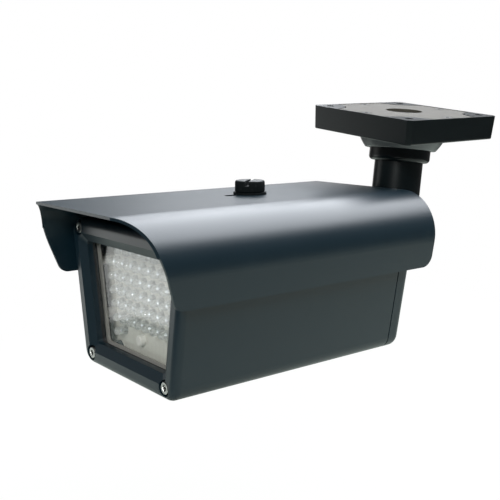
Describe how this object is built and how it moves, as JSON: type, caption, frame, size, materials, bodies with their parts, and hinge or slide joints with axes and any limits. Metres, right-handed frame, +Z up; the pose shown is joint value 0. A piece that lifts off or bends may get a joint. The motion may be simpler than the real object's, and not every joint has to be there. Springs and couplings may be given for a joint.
{
  "type": "infrared illuminator",
  "caption": "Infrared illuminator: tapered black housing with a glazed LED window, sliding sunshield and an elbow arm to a ceiling ball mount.",
  "frame": {"origin": "middle of the ceiling base's mounting face, which is the centre of its four bolt holes", "axes": "+Z upwards along the lamp's height, -Y the way the lamp shines, +X to the lamp's left seen from the front"},
  "size_m": [0.132, 0.2991, 0.1549],
  "materials": {
    "black_coat": "satin",
    "base_coat": "satin",
    "ball_coat": "satin",
    "black_thumb": "satin",
    "plated_steel": "satin",
    "screw_steel": "satin",
    "plain_aluminium": "satin",
    "seal_rubber": "matte",
    "window_glass": "polished",
    "clear_lens": "gloss",
    "photocell_resin": "gloss",
    "board_laminate": "satin",
    "driver_laminate": "satin",
    "nylon": "matte",
    "coil_copper": "satin",
    "capacitor_sleeve": "gloss"
  },
  "bodies": {
    "ceiling_base": {"base_shell": "base_coat", "clamp_plate": "plated_steel", "clamp_plate_screws": "screw_steel", "ball_clamp_ring": "plain_aluminium"},
    "ball_liner": {"friction_liner": "nylon"},
    "swivel": {"swivel_ball": "ball_coat", "ball_collar": "black_coat", "collar_lock_screw": "screw_steel", "neck_nut": "screw_steel"},
    "lamp_head": {"bracket_arm": "black_coat", "arm_gasket": "seal_rubber", "arm_flange_screws": "screw_steel", "cable_grommet": "seal_rubber", "rear_cap": "black_coat", "rear_cap_seal": "seal_rubber", "rear_cap_screws": "screw_steel", "housing_body": "black_coat", "front_bezel": "black_coat", "bezel_screws": "screw_steel", "window_gasket": "seal_rubber", "window_glass": "window_glass", "glass_retainer": "plain_aluminium", "led_board": "board_laminate", "led_array": "clear_lens", "photocell": "photocell_resin", "board_pillars": "plain_aluminium", "board_screws": "screw_steel", "driver_board": "driver_laminate", "driver_spacers": "nylon", "driver_coil": "coil_copper", "driver_capacitor": "capacitor_sleeve", "terminal_block": "nylon", "shield_spacer": "black_coat", "shield_spacer_screws": "screw_steel", "thumb_screw_washer": "black_thumb"},
    "shield": {"sunshield": "black_coat"},
    "thumb": {"thumb_screw": "black_thumb"}
  },
  "joints": [
    {"name": "ball_pan", "type": "hinge", "parent": "ceiling_base", "child": "ball_liner", "pos_m": [-0.00068, 0.00017, -0.00596], "axis": [0.1132, -0.0288, 0.9932], "continuous": true},
    {"name": "ball_tilt", "type": "hinge", "parent": "ball_liner", "child": "swivel", "pos_m": [-0.00068, 0.00017, -0.00596], "axis": [0.7781, 0.6241, -0.0706], "range_deg": [-0.6, 21.3]},
    {"name": "arm_turn", "type": "hinge", "parent": "swivel", "child": "lamp_head", "pos_m": [-0.00068, 0.00017, -0.00596], "axis": [0, 0.1123, 0.9937], "continuous": true},
    {"name": "shield_slide", "type": "slide", "parent": "lamp_head", "child": "shield", "axis": [0, 1, 0], "range_m": [0, 0.013]},
    {"name": "thumb_screw_turn", "type": "hinge", "parent": "lamp_head", "child": "thumb", "pos_m": [-0.00068, -0.13623, -0.04826], "axis": [0, 0, 1], "continuous": true}
  ]
}
